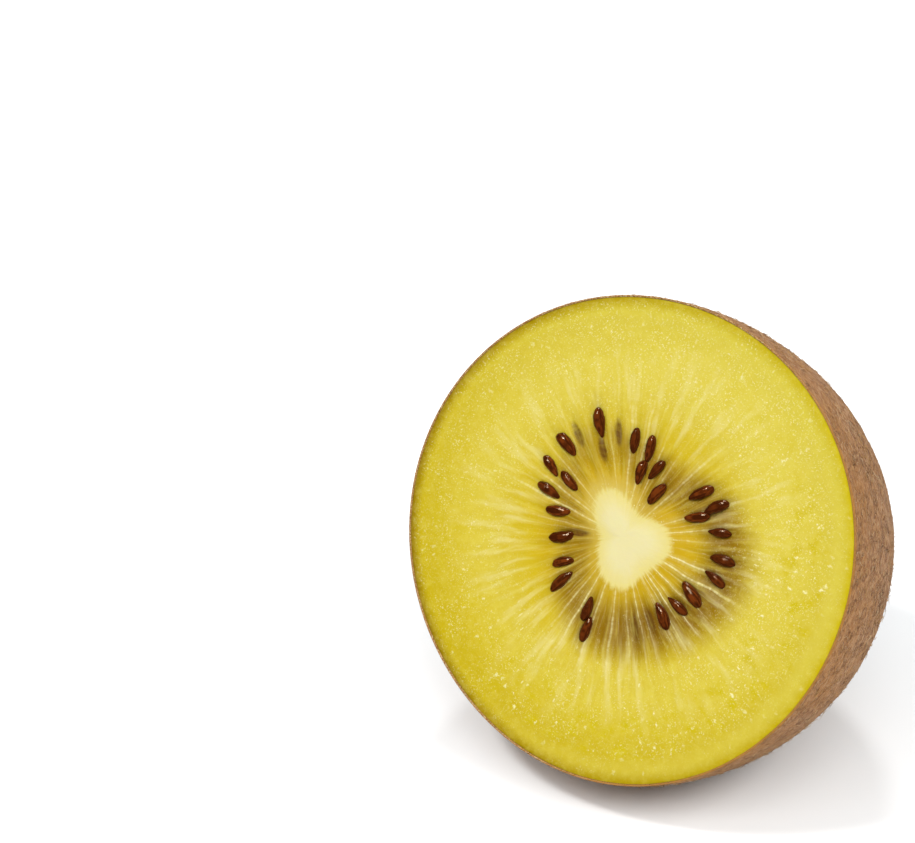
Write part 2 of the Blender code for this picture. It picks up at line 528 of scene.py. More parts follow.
@dataclass(frozen=True)
class SeedRule:
    """Where the seeds lie: one letter a chamber, and seeded jitter.

    A chamber holds one standing seed (f), a second one further in (p) or only that one
    (i), a sunken seed (s), a standing one with a sunken one further in (q), or none (.).
    """

    form: FruitForm
    chambers: str = "ffpf.ifpfsqsfpffq.ff..p..ssffff"
    first_chamber: float = math.radians(5)
    length: float = 2.8 * MM
    width: float = 1.3 * MM
    height: float = 1.1 * MM
    sunk: float = 0.1 * MM
    inner_step: float = 2.4 * MM
    angle_spread: float = math.radians(4)
    radius_spread: float = 0.8 * MM
    turn_spread: float = math.radians(16)
    size_spread: float = 0.12
    random_seed: int = 577

    def standing(self) -> list[Seed]:
        """Find the seeds that stand out of the cut face, where the solids have them.

        Returns:
            Those seeds.
        """
        draw = random.Random(self.random_seed)
        found = []
        for k, shown in enumerate(self.chambers):
            for inward, letters in ((0.0, "fpq"), (self.inner_step, "pi")):
                angle = self.chamber_angle(k)
                angle += draw.uniform(-1, 1) * self.angle_spread
                radius = self.ring(angle) - inward
                radius += draw.uniform(-1, 1) * self.radius_spread
                turn = angle + draw.uniform(-1, 1) * self.turn_spread
                size = 1 + draw.uniform(-1, 1) * self.size_spread
                if shown in letters:
                    found.append(Seed(angle, radius, turn, size))
        return found

    def sunken(self) -> list[Seed]:
        """Find the deeper seeds, which show as soft shadows under the surface.

        Returns:
            Those seeds.
        """
        found = []
        for k, shown in enumerate(self.chambers):
            if shown in "sq":
                angle = self.chamber_angle(k)
                inward = self.inner_step if shown == "q" else 0.0
                found.append(Seed(angle, self.ring(angle) - inward, angle, 1.0))
        return found

    def chamber_angle(self, k: int) -> float:
        """The middle of a chamber."""
        return self.first_chamber + 2 * math.pi * k / len(self.chambers)

    def ring(self, angle: float) -> float:
        """The seed ring's radius at an angle."""
        return float(self.form.lobed(self.form.ring_radius, self.form.ring_lobes, angle))


def fruit_pose(skin: bpy.types.Object, elevation: float) -> Matrix:
    """Read the fruit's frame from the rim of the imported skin.

    Args:
        skin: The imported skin.
        elevation: The angle at which the cut face looks up.

    Returns:
        The matrix from the fruit's frame to the row's.
    """
    lean = Matrix.Rotation(math.pi / 2 - elevation, 4, "X")
    back = lean.inverted()
    local = [back @ vertex.co for vertex in skin.data.vertices]
    top = max(point.z for point in local)
    near = 0.01 * MM
    rim = {tuple(round(c / near) for c in p) for p in local if p.z > top - near}
    middle = sum((Vector(point) * near for point in rim), Vector()) / len(rim)
    return Matrix.Translation(lean @ Vector((middle.x, middle.y, top))) @ lean


# --------------------------------------------------------------------- mesh making


class Shell:
    """Points and faces that grow ring by ring into one mesh."""

    def __init__(self) -> None:
        """Start with nothing."""
        self.points: list[np.ndarray] = []
        self.faces: list[tuple[int, ...]] = []
        self.count = 0

    def add(self, points: np.ndarray) -> np.ndarray:
        """Add points.

        Args:
            points: The points, with the coordinates on the last axis.

        Returns:
            Their numbers, in the same layout.
        """
        flat = points.reshape(-1, 3)
        self.points.append(flat)
        numbers = np.arange(self.count, self.count + len(flat))
        self.count += len(flat)
        return numbers.reshape(points.shape[:-1])

    def tube(self, rings: np.ndarray, flipped: bool = False) -> None:
        """Join rings, each to the next, with quads.

        Args:
            rings: Point numbers, a row for each ring.
            flipped: Whether the faces look the other way.
        """
        after = np.roll(rings, -1, axis=1)
        quads = np.stack((rings[:-1], rings[1:], after[1:], after[:-1]), -1)
        quads = quads.reshape(-1, 4)
        self.faces.extend(map(tuple, (quads[:, ::-1] if flipped else quads).tolist()))

    def cap(self, ring: np.ndarray, tip: np.ndarray, flipped: bool = False) -> None:
        """Close a ring onto one point.

        Args:
            ring: The ring's point numbers.
            tip: The point.
            flipped: Whether the faces look the other way.
        """
        middle = int(self.add(tip))
        for a, b in zip(ring.tolist(), np.roll(ring, -1).tolist()):
            self.faces.append((b, a, middle) if flipped else (a, b, middle))

    def mesh(self, name: str) -> bpy.types.Mesh:
        """Make the mesh, shaded smooth.

        Args:
            name: Its name.

        Returns:
            The mesh.
        """
        made = bpy.data.meshes.new(name)
        made.from_pydata(np.concatenate(self.points).tolist(), [], self.faces)
        made.validate()
        made.shade_smooth()
        return made


def lift_off_floor(points: np.ndarray, pose: Matrix, clearance: float) -> np.ndarray:
    """Raise points of the fruit's frame to `clearance` above the floor.

    Args:
        points: Points in the fruit's frame, coordinates on the last axis.
        pose: From the fruit's frame to the row's.
        clearance: The least height above the floor.

    Returns:
        The points, those that were lower raised straight up.
    """
    turn = np.array(pose.to_3x3())
    shift = np.array(pose.translation)
    world = points @ turn.T + shift
    world[..., 2] = np.maximum(world[..., 2], clearance)
    return (world - shift) @ turn


def store(mesh: bpy.types.Mesh, name: str, values: np.ndarray) -> None:
    """Store a number at each point of a mesh."""
    layer = mesh.attributes.new(name, "FLOAT", "POINT")
    layer.data.foreach_set("value", values.astype(np.float32))


def set_piece(
    name: str,
    mesh: bpy.types.Mesh,
    material: bpy.types.Material,
    pose: Matrix,
    replaced: Sequence[str] = (),
) -> bpy.types.Object:
    """Put a piece on the fruit.

    Args:
        name: The piece's name.
        mesh: Its mesh, in the fruit's frame.
        material: Its finish.
        pose: From the fruit's frame to the row's.
        replaced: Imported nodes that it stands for.

    Returns:
        The piece's object.
    """
    mesh.transform(pose)
    mesh.materials.append(material)
    piece = bpy.data.objects.new(name, mesh)
    bpy.context.scene.collection.objects.link(piece)
    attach(piece, "root")
    if replaced:
        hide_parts(*replaced)
    LOG.info("%s: %d faces", name, len(mesh.polygons))
    return piece


# ------------------------------------------------------------------------- finishes


def around(x: Signal, y: Signal) -> tuple[Signal, Signal]:
    """The distance from the fruit's axis and the angle round it."""
    return (x * x + y * y).math("SQRT"), y.math("ARCTAN2", x)


def lobed_signal(angle: Signal, radius: float, lobes: Lobes) -> Signal:
    """A lobed radius, as a shader value.

    Args:
        angle: The angle round the axis.
        radius: The mean radius in metres.
        lobes: (count, share, angle) of each lobe pattern.

    Returns:
        The radius in millimetres.
    """
    total: Any = 1.0
    for count, share, at in lobes:
        total = ((angle - at) * count).math("COSINE") * share + total
    return total * (radius / MM)


def facing(angle: Signal, towards: float) -> Signal:
    """1 on the side at `towards` and 0 on the far side."""
    return (angle - towards).math("COSINE") * 0.5 + 0.5


@dataclass(frozen=True)
class CutFace:
    """What the flesh's colours are worked out from, at one point of the cut face."""

    recipe: Recipe
    flat: Signal
    radius: Signal
    angle: Signal
    turn: Signal
    share: Signal
    from_core: Signal
    from_ring: Signal
    cloud: Signal
    middling: Signal
    fine: Signal

    @staticmethod
    def read(recipe: Recipe, form: FruitForm, first_chamber: float) -> "CutFace":
        """Work out the values that more than one marking needs.

        Args:
            recipe: The material.
            form: The fruit's form.
            first_chamber: The angle at which the turns start.

        Returns:
            The place, its distances in millimetres, and noise of three sizes.
        """
        x, y, _ = recipe.split(recipe.place())
        flat = recipe.join(x, y, 0.0)
        radius, angle = around(x, y)
        rim = lobed_signal(angle, form.radius, form.outline_lobes)
        core = lobed_signal(angle, form.core_radius, form.core_lobes)
        ring = lobed_signal(angle, form.ring_radius, form.ring_lobes)
        cloud = recipe.noise(flat, 0.16, 3.0)
        middling = recipe.noise(recipe.vector("ADD", flat, (9.0, 4.0, 2.0)), 0.5, 3.0)
        fine = recipe.noise(flat, 2.0, 4.0, Roughness=0.7)
        turn = (angle - first_chamber) / (2 * math.pi)
        turn = turn + (cloud - 0.5) * 0.012 + (middling - 0.5) * 0.003
        uneven = (middling - 0.5) * 0.7 + (fine - 0.5) * 0.7
        share, from_core = radius / rim, radius - core + uneven
        distances = (radius, angle, turn, share, from_core, radius - ring)
        cut = CutFace(recipe, flat, *distances, cloud, middling, fine)
        feather = cut.spokes(110.0, radius * 0.35) - 0.5
        return replace(cut, from_core=from_core + feather * 1.2)

    def compass(self) -> tuple[Signal, Signal]:
        """The direction from the axis, slightly warped."""
        angle = self.turn * (2 * math.pi)
        return angle.math("COSINE"), angle.math("SINE")

    def side(self, towards: float) -> Signal:
        """1 on the warped side at `towards` and 0 on the far side."""
        return facing(self.turn * (2 * math.pi), towards)

    def spokes(self, count: float, along: Signal) -> Signal:
        """Noise in streaks that run out from the axis.

        Args:
            count: About how many streaks go round.
            along: Where along them, in bumps.

        Returns:
            The noise.
        """
        x, y = self.compass()
        reach = count / (2 * math.pi)
        return self.recipe.noise(self.recipe.join(x * reach, y * reach, along), 1.0, 3.0)


@dataclass(frozen=True)
class FleshFinish:
    """Moist golden flesh with pale rays, olive chambers and a cream core."""

    form: FruitForm
    rule: SeedRule
    heart: Colour = seen(241, 230, 172)
    core_rim: Colour = seen(238, 221, 134)
    golden: Colour = seen(212, 173, 26)
    moss: Colour = seen(148, 108, 8)
    olive: Colour = seen(106, 70, 10)
    shadow: Colour = seen(112, 74, 20)
    thread: Colour = seen(250, 239, 172)
    pale: Colour = seen(240, 224, 104)
    milky_and_painted_light: Colour = seen(242, 229, 120)
    speck_and_glint: Colour = seen(255, 249, 186)
    deep: Colour = seen(214, 192, 6)
    painted_shade_amber: Colour = seen(202, 171, 0)
    edge: Colour = seen(156, 125, 0)
    bands: tuple[tuple[float, Colour], ...] = (
        (0.00, seen(206, 172, 34)),
        (0.26, seen(198, 163, 18)),
        (0.34, seen(208, 174, 22)),
        (0.42, seen(215, 186, 28)),
        (0.50, seen(218, 192, 44)),
        (0.58, seen(220, 197, 60)),
        (0.68, seen(222, 200, 60)),
        (0.80, seen(218, 196, 46)),
        (0.90, seen(210, 189, 30)),
        (0.955, seen(212, 192, 16)),
        (0.985, seen(220, 199, 10)),
        (1.00, seen(226, 204, 6)),
    )
    rays: int = 18
    wall_width: float = 0.058
    ray_width: float = 0.024
    glow_side: float = 2.3
    relief: float = 0.05 * MM

    def material(self) -> bpy.types.Material:
        """Build the finish.

        Returns:
            The flesh's material, core included.
        """
        recipe = Recipe("flesh", self.form.pose)
        cut = CutFace.read(recipe, self.form, self.rule.first_chamber)
        colour = self.chambers(cut, self.outer(cut))
        haze = recipe.noise(cut.flat, 0.8, 6.0, Roughness=0.8).rise(0.42, 0.64)
        colour = recipe.mix(haze * cut.share.rise(0.34, 0.62) * 0.22, colour, self.pale)
        fibre = cut.spokes(170.0, cut.radius * 0.3).rise(0.45, 0.7)
        fibre = fibre * cut.from_core.rise(0.5, 3.0) * cut.share.fall(0.55, 0.85)
        colour = recipe.mix(fibre * 0.24, colour, self.pale)
        threads, fan = self.veins(cut)
        cut = replace(cut, from_core=cut.from_core - threads * 0.35)
        lines = (threads * cut.from_core.rise(-0.8, 0.4) + fan * 0.38).clamped()
        colour = recipe.mix(lines, colour, self.thread)
        # Pale cell specks, partly painted glints.
        dots = self.specks(cut)
        colour = recipe.mix(dots, colour, self.speck_and_glint)

        lobe = facing(cut.angle, self.glow_side)
        glow = cut.from_core.fall(0.2, 2.8) * lobe * lobe * 0.42
        colour = recipe.mix(glow, colour, self.core_rim)
        heart = recipe.mix(cut.from_core.rise(-2.8, 0.6), self.heart, self.core_rim)
        inside = cut.from_core.fall(-0.25, 0.65)
        pulp = cut.fine * 0.5 + dots * 0.6 + lines * 0.5
        return recipe.finish(
            Base_Color=recipe.mix(inside, colour, heart),
            Roughness=0.34 + cut.fine * 0.2 + inside * 0.15 - dots * 0.12,
            Normal=recipe.bump(pulp, self.relief, 0.8),
            IOR=1.38,
            Specular_IOR_Level=0.15,
            Specular_Tint=(1.0, 0.92, 0.38, 1.0),
            Subsurface_Weight=0.3,
            Subsurface_Radius=(1.0, 0.65, 0.12),
            Subsurface_Scale=0.5 * MM,
        )

    def outer(self, cut: CutFace) -> Signal:
        """The flesh's ground colour, with painted light and shade: paler up and to the right,
        deeper below.

        Args:
            cut: The cut face's values.

        Returns:
            The colour.
        """
        share, mix = cut.share, cut.recipe.mix
        above = facing(cut.angle, 1.13)
        right = facing(cut.angle, 0.17)
        below = facing(cut.angle, -0.75).rise(0.45, 0.95)
        colour = cut.recipe.ramp(share, self.bands)
        # Painted light: the upper side of the flat cut face is painted paler.
        light = above * share.rise(0.48, 0.75) * share.fall(0.92, 1.0) * 0.34
        colour = mix(light, colour, self.milky_and_painted_light)
        # Painted shade: away from the top the outer flesh is painted deeper amber.
        colour = mix((1 - above) * share.rise(0.6, 0.98) * 0.5, colour, self.painted_shade_amber)
        blot = cut.middling.rise(0.48, 0.66) * share.rise(0.60, 0.76) * share.fall(0.85, 0.92)
        colour = mix(blot * (0.25 + below * 0.7), colour, self.deep)
        band = share.rise(0.87, 0.93) * share.fall(0.955, 0.99) * below
        colour = mix(band * 0.18, colour, self.milky_and_painted_light)
        return mix(share.rise(0.93, 1.0) * (1.15 - right), colour, self.edge)

    def chambers(self, cut: CutFace, colour: Signal) -> Signal:
        """Golden and olive glassy flesh between the rays and round the seeds.

        Args:
            cut: The cut face's values.
            colour: The flesh's colour so far.

        Returns:
            The colour with the chambers.
        """
        recipe, mix = cut.recipe, cut.recipe.mix
        count = float(len(self.rule.chambers))
        place = cut.turn * count
        number = place.math("ROUND")
        own = recipe.lot(number.math("FLOORED_MODULO", count), 3.0)
        angle = cut.turn * (2 * math.pi) + self.rule.first_chamber
        golden = cut.from_core.fall(1.0, 5.5) * (0.1 + facing(angle, 0.6) * 0.95)
        colour = mix(golden, colour, self.golden)
        dusk = facing(angle, -0.6)
        above = facing(angle, 1.3)
        middle = cut.from_ring + lobed_signal(angle, self.form.dark_radius, self.form.dark_lobes)
        zone = middle.rise(-4.2, -0.4) * middle.fall(0.4, dusk * 2.8 + 2.6)
        zone = zone * cut.from_core.rise(0.0, 2.0)
        gloom = zone * (0.32 + dusk * 0.60 + cut.cloud * 0.28)
        colour = mix(gloom, colour, self.moss)
        glass = abs(place - number).fall(0.1, 0.5) * zone * (own * 0.7 + cut.cloud * 0.8 - 0.2)
        colour = mix(glass * (0.25 + dusk * 0.55), colour, self.moss)
        halo = recipe.attribute("halo") * (0.06 + dusk * 0.38 + above * 0.22)
        colour = mix(halo * (0.7 + own * 0.5), colour, self.olive)
        mottle = recipe.noise(recipe.join(*cut.compass(), cut.from_ring * 0.3), 9.0)
        sunken = recipe.attribute("sunken") * (0.3 + mottle * 1.2)
        return mix(sunken, colour, self.shadow)

    def veins(self, cut: CutFace) -> tuple[Signal, Signal]:
        """Pale threads that run out from the core and fray beyond the seeds.

        Args:
            cut: The cut face's values.

        Returns:
            How much of the threads shows, and of the fan they end in.
        """
        count = len(self.rule.chambers)
        walls = self.threads(cut, cut.turn + 0.5 / count, count, self.wall_width)
        thin = self.threads(cut, cut.turn, count + self.rays, self.ray_width)
        beads = cut.spokes(60.0, cut.radius * 2.4).rise(0.40, 0.66)
        side = cut.recipe.vector("SCALE", cut.recipe.join(*cut.compass(), 0.0), Scale=1.6)
        lively = cut.recipe.noise(side, 1.0, 1.0).rise(0.35, 0.65) * 0.6 + 0.4
        body = 0.30 + cut.middling * 0.5 + beads * 0.7
        threads = walls.math("MAXIMUM", thin * 0.4) * body * lively
        threads = threads * (0.6 + cut.side(-0.8) * 0.95)
        fan = cut.spokes(95.0, cut.radius * 0.16).rise(0.46, 0.72)
        fan = fan * cut.radius.rise(9.5, 14.0) * cut.radius.fall(16.5, 24.0)
        return threads.clamped(), fan

    @staticmethod
    def threads(cut: CutFace, turn: Signal, count: int, width: float) -> Signal:
        """One set of threads, each with its own place, width and reach.

        Args:
            cut: The cut face's values.
            turn: The angle in turns from the set's first thread.
            count: How many go round.
            width: Their mean half width in millimetres.

        Returns:
            1 on a thread and 0 between threads.
        """
        place = turn * count
        number = place.math("ROUND")
        key = number.math("FLOORED_MODULO", float(count))
        own, other = (cut.recipe.lot(key, count + salt) for salt in (0.5, 7.5))
        off = abs(place - number + (own - 0.5) * 0.5) * cut.radius * (2 * math.pi / count)
        off = off / ((0.6 + other * 0.9) * width + (cut.radius - 5.0) * (0.10 * width))
        shown = off.fall(0.3, 1.9).math("MAXIMUM", off.fall(0.5, 9.0) * 0.20)
        reach = 12.0 + other * 7.0
        return shown * ((0.18 + own * 0.82) * cut.radius.fall(reach - 6.5, reach))

    @staticmethod
    def specks(cut: CutFace) -> Signal:
        """Pale specks and short strokes of the flesh's cells, partly painted glints of its moist
        surface.

        Args:
            cut: The cut face's values.

        Returns:
            How much of the pale colour shows.
        """
        recipe, flat, share, from_core = cut.recipe, cut.flat, cut.share, cut.from_core
        shift = recipe.vector("SCALE", recipe.noise_colour(flat, 3.4), Scale=0.55)
        broken = recipe.vector("ADD", flat, shift)
        near, chance = recipe.cells(broken, 2.9)
        dots = near.fall(0.10, 0.34) * chance.rise(0.2, 0.85)
        close, luck = recipe.cells(recipe.vector("ADD", broken, (2.0, 7.0, 0.0)), 4.4)
        tiny = close.fall(0.12, 0.42) * luck.rise(0.35, 0.95)
        flecks = recipe.noise(flat, 3.8, 3.0).rise(0.58, 0.72)
        wide, rare = recipe.cells(recipe.vector("ADD", broken, (5.0, 3.0, 0.0)), 1.3)
        big = wide.fall(0.04, 0.15) * rare.rise(0.60, 0.9)
        x, y = cut.compass()
        polar = recipe.join(x * 30.0, y * 30.0, cut.radius * 0.8)
        far, lucky = recipe.cells(recipe.vector("ADD", polar, shift), 1.0)
        strokes = far.fall(0.06, 0.28) * lucky.rise(0.66, 0.95)
        below, above = cut.side(-0.75), cut.side(1.0)
        patch = recipe.noise(flat, 0.30, 3.0).rise(0.38, 0.62)
        total = (dots + flecks + tiny * 0.8) * (0.14 + patch * 0.38 + above * 0.16)
        total = total + strokes * (0.35 + below * 0.75) + big * (0.35 + patch * 0.75)
        total = total * (1 - share.rise(0.87, 0.92) * (0.15 + below * below * 0.6))
        total = total * (0.2 + share.rise(0.42, 0.68) * 0.8)
        total = total * (1 - recipe.attribute("sunken") * 0.75)
        total = total * from_core.rise(0.3, 3.5) * share.fall(0.96, 0.99)
        # Painted glints: pale dots round the core's edge on the upper side.
        painted_glints = dots * from_core.rise(-0.4, 0.1) * from_core.fall(0.5, 1.6) * above
        return (total + painted_glints * 0.9).clamped()


@dataclass(frozen=True)
class SkinFinish:
    """Thin brown peel with a felted, finely cracked surface."""

    pose: Matrix
    tan: Colour = seen(216, 166, 112)
    brown: Colour = seen(164, 104, 58)
    dark: Colour = seen(100, 56, 28)
    ginger: Colour = seen(192, 130, 60)
    straw: Colour = seen(232, 196, 152)
    lip_gold: Colour = seen(186, 136, 70)
    lip_cream: Colour = seen(228, 202, 152)
    lip_brown: Colour = seen(150, 104, 50)
    scab: Colour = seen(116, 62, 34)
    relief: float = 0.20 * MM

    def material(self) -> bpy.types.Material:
        """Build the finish.

        Returns:
            The skin's material.
        """
        recipe = Recipe("skin", self.pose)
        here = recipe.place()
        x, y, z = recipe.split(here)
        radius, angle = around(x, y)
        stretched = recipe.join(x, y, z * 3.0)
        cloud = recipe.noise(here, 0.16, 3.0)
        felt = recipe.noise(stretched, 2.0, 5.0, Roughness=0.66)
        tight = recipe.noise(here, 6.5, 3.0)
        fibre = recipe.noise(recipe.join(x * 0.45, y * 0.45, z * 2.4), 2.4, 4.0)
        crack = (1 - abs(recipe.noise(stretched, 0.9, 4.0) - 0.5) * 13.0).clamped()
        crack = crack * recipe.noise(here, 1.3, 2.0).rise(0.46, 0.60)
        curl = (1 - abs(recipe.noise(here, 0.8, 2.0, Distortion=1.6) - 0.5) * 14.0).clamped()
        curl = curl * recipe.noise(here, 0.5, 2.0).rise(0.45, 0.60)
        split, own = recipe.cells(recipe.join(x, y, z * 2.4), 0.95)
        pits = split.fall(0.08, 0.24) * own.rise(0.74, 0.92)

        colour = recipe.mix(felt.rise(0.42, 0.58), self.brown, self.tan)
        colour = recipe.mix(cloud.rise(0.42, 0.68) * 0.6, colour, self.ginger)
        colour = recipe.mix(fibre.rise(0.52, 0.66) * 0.6, colour, self.straw)
        marks = (crack * 0.5 + pits * 0.6 + curl * 0.55).clamped()
        colour = recipe.mix(marks, colour, self.dark)
        colour = recipe.mix(tight.rise(0.55, 0.75) * 0.35, colour, self.straw)
        right = (angle + 0.3).math("COSINE").rise(-0.1, 0.7)
        beads = recipe.mix(tight.rise(0.44, 0.6), self.lip_brown, self.lip_cream)
        gold = recipe.mix(tight.rise(0.4, 0.7) * 0.6, self.lip_gold, self.lip_brown)
        colour = recipe.mix(z.rise(-0.10, 0.0), colour, recipe.mix(right, beads, gold))
        near_cut = z.rise(-9.0, -0.5) * felt.rise(0.3, 0.6)
        colour = recipe.mix(near_cut * 0.45, colour, self.ginger)
        scar_zone = radius.fall(6.0, 11.5) * (-1 * z).rise(18.0, 24.0)
        colour = recipe.mix(scar_zone * (0.2 + felt * 1.1), colour, self.scab)
        height = felt * 0.5 + fibre * 0.3 + tight * 0.3 - marks * 0.7
        return recipe.finish(
            Base_Color=colour,
            Roughness=0.62 + felt * 0.25,
            Normal=recipe.bump(height, self.relief),
            Specular_IOR_Level=0.16,
            Specular_Tint=(1.0, 0.85, 0.65, 1.0),
            Sheen_Weight=0.22,
            Sheen_Roughness=0.4,
            Sheen_Tint=(*seen(240, 208, 200), 1),
        )


@dataclass(frozen=True)
class HairFinish:
    """Fine dry hairs, each one a little lighter or darker."""

    pose: Matrix
    light: Colour = seen(244, 210, 164)
    golden: Colour = seen(216, 164, 92)
    dark: Colour = seen(108, 64, 34)

    def material(self) -> bpy.types.Material:
        """Build the finish.

        Returns:
            The material.
        """
        recipe = Recipe("hair", self.pose)
        tone = recipe.attribute("tone")
        along = recipe.attribute("along")
        patch = recipe.noise(recipe.place(), 0.4, 3.0).rise(0.40, 0.58)
        light = recipe.mix(patch * 0.8, self.light, self.golden)
        colour = recipe.mix((tone + patch * 0.1).rise(0.08, 0.55), self.dark, light)
        colour = recipe.mix(along * 0.3, colour, light)
        return recipe.finish(
            Base_Color=colour, Roughness=0.5 + tone * 0.2, Specular_IOR_Level=0.2
        )


@dataclass(frozen=True)
class SeedFinish:
    """A glossy dark seed coat with fine lengthwise pits."""

    pose: Matrix
    dark: Colour = seen(54, 20, 6)
    red: Colour = seen(124, 58, 18)
    relief: float = 0.05 * MM

    def material(self) -> bpy.types.Material:
        """Build the finish.

        Returns:
            The material.
        """
        recipe = Recipe("seed", self.pose)
        here = recipe.place()
        tone = recipe.attribute("tone")
        lengthwise = recipe.attribute("lengthwise")
        girth = recipe.attribute("girth")
        at = recipe.join(lengthwise * 1.6, girth * 5.0, tone * 9.0)
        streak = recipe.noise(at, 1.0, 3.0)
        pit = recipe.noise(here, 6.0, 2.0)
        share = 0.14 + streak.rise(0.42, 0.64) * (0.34 + tone * 0.5)
        # Painted light: the flanks, in shade at the sides of their pockets, are painted redder
        # and lighter.
        share = share + girth.fall(0.0, 0.4) * 0.3
        colour = recipe.mix(share, self.dark, self.red)
        return recipe.finish(
            Base_Color=colour,
            Roughness=0.55 - girth.rise(0.15, 0.50) * 0.48 + streak * 0.05,
            Normal=recipe.bump(streak * 0.7 + pit * 0.5, self.relief, 0.8),
            IOR=1.45,
            Specular_IOR_Level=0.6,
            Specular_Tint=(1.0, 0.76, 0.52, 1.0),
        )


@dataclass(frozen=True)
class ScarFinish:
    """Dry fibrous wood, grey in the middle and tan on its rim."""

    pose: Matrix
    rim: Colour = seen(200, 160, 114)
    disc: Colour = seen(150, 132, 112)
    crevice: Colour = seen(58, 34, 18)
    outer: Colour = seen(128, 78, 44)
    relief: float = 0.22 * MM

    def material(self) -> bpy.types.Material:
        """Build the finish.

        Returns:
            The material.
        """
        recipe = Recipe("stem_scar", self.pose)
        here = recipe.place()
        x, y, _ = recipe.split(here)
        radius, angle = around(x, y)
        fibre = recipe.noise(recipe.join(radius * 0.5, angle * 14.0, 0.0), 1.0, 4.0)
        mottle = recipe.noise(here, 1.6, 4.0)
        spots = recipe.noise(here, 3.2, 3.0).rise(0.58, 0.70)
        low = recipe.attribute("hollow")
        inside = radius.fall(2.6, 3.6)
        colour = recipe.mix(inside, self.rim, self.disc)
        colour = recipe.mix(radius.rise(4.7, 5.3), colour, self.outer)
        colour = recipe.mix(fibre.rise(0.44, 0.66) * 0.75, colour, self.outer)
        colour = recipe.mix(spots * 0.55, colour, self.crevice)
        colour = recipe.mix(low + mottle * 0.4 - 0.2, colour, self.crevice)
        return recipe.finish(
            Base_Color=colour,
            Roughness=0.75 + mottle * 0.2,
            Normal=recipe.bump(fibre * 0.6 + mottle * 0.5, self.relief, 0.9),
        )


@dataclass(frozen=True)
class FloorFinish:
    """A plain matt white surface."""

    pose: Matrix
    white: Colour = (0.835, 0.85, 0.855)

    def material(self) -> bpy.types.Material:
        """Build the finish.

        Returns:
            The material.
        """
        recipe = Recipe("floor", self.pose)
        fine = recipe.noise(recipe.place(), 0.05, 2.0)
        rough = 0.85 + fine * 0.1
        return recipe.finish(
            Base_Color=self.white, Roughness=rough, Specular_IOR_Level=0.0
        )


# --------------------------------------------------------------------------- pieces


